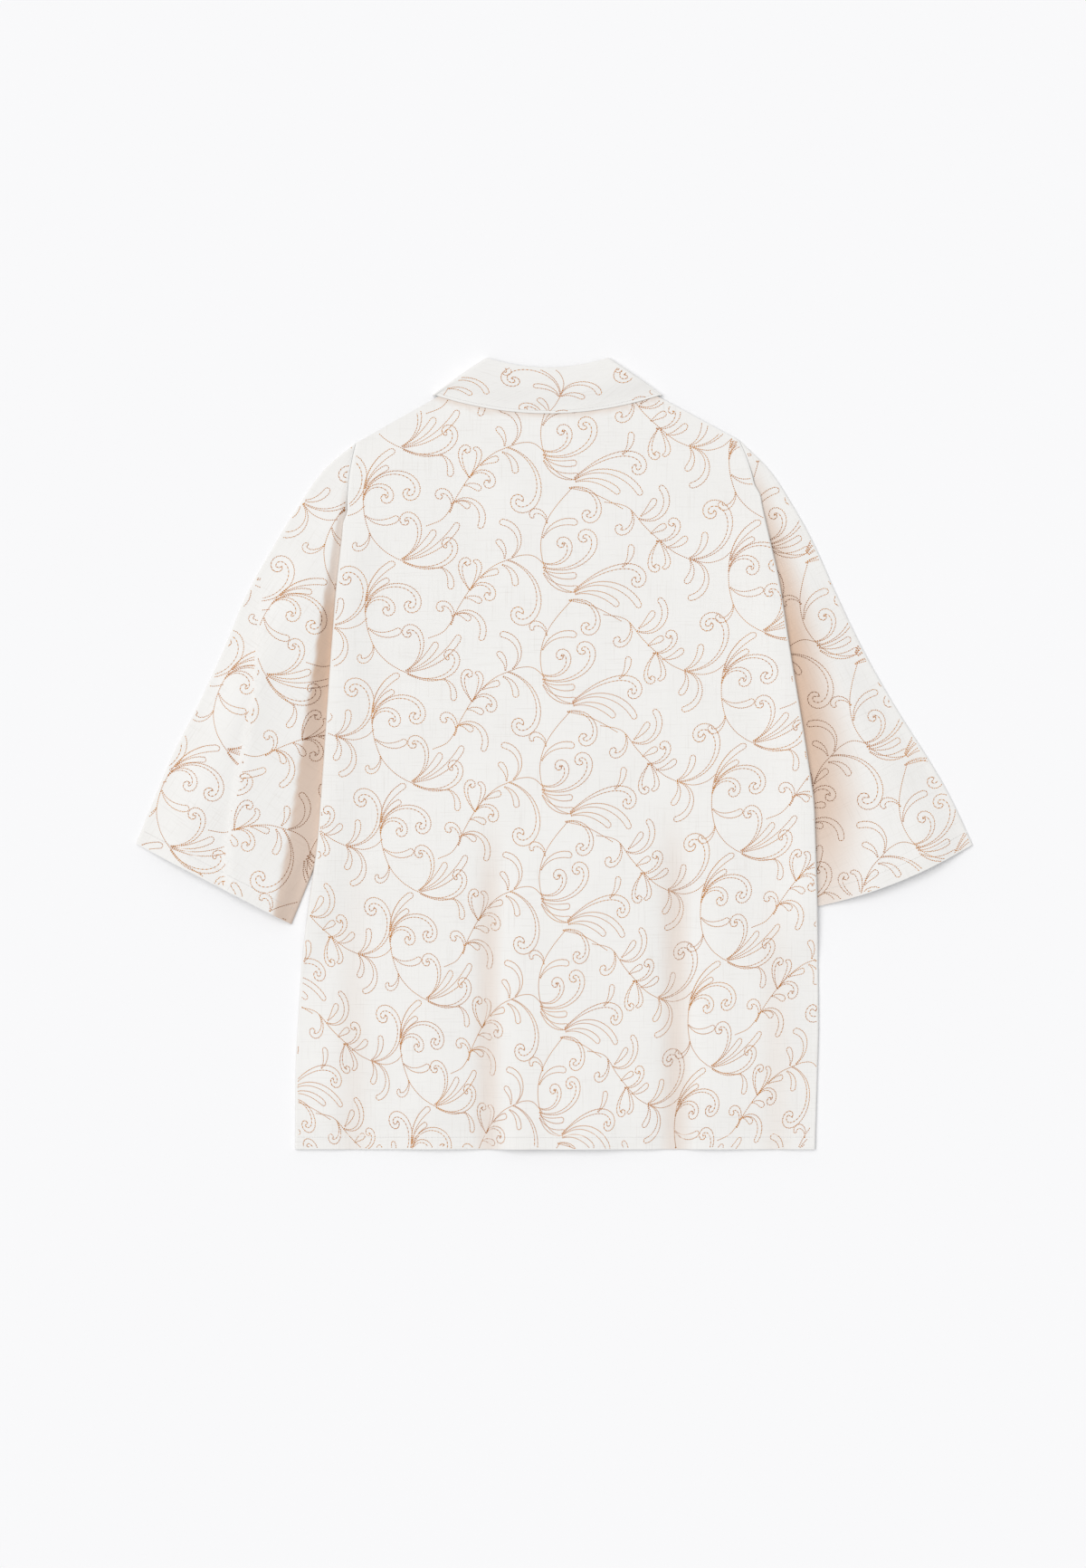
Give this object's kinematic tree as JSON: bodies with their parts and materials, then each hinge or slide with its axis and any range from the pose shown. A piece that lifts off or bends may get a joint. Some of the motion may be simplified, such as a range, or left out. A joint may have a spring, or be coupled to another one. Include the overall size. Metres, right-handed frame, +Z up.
{
  "type": "tunic shirt",
  "caption": "Loose linen tunic shirt with a turned-down collar and wide three-quarter sleeves, embroidered all over, lying face down.",
  "frame": {"origin": "middle of the garment's footprint, on the surface that it lies on", "axes": "+X across the garment towards the wearer's right sleeve, +Y from the hem towards the collar, +Z up from the surface towards the back of the shirt"},
  "size_m": [0.925, 0.873, 0.0082],
  "materials": {
    "linen": "off-white plain-weave linen, matt",
    "embroidery_thread": "rust stitching thread with a faint sheen",
    "button": "satin, shell-like"
  },
  "bodies": {
    "root": {"back": "linen", "front_left": "linen", "front_right": "linen", "sleeve_left": "linen", "sleeve_right": "linen", "collar": "linen", "button_1": "button", "button_2": "button", "button_3": "button", "button_4": "button", "button_5": "button", "button_6": "button", "button_7": "button"}
  },
  "joints": []
}
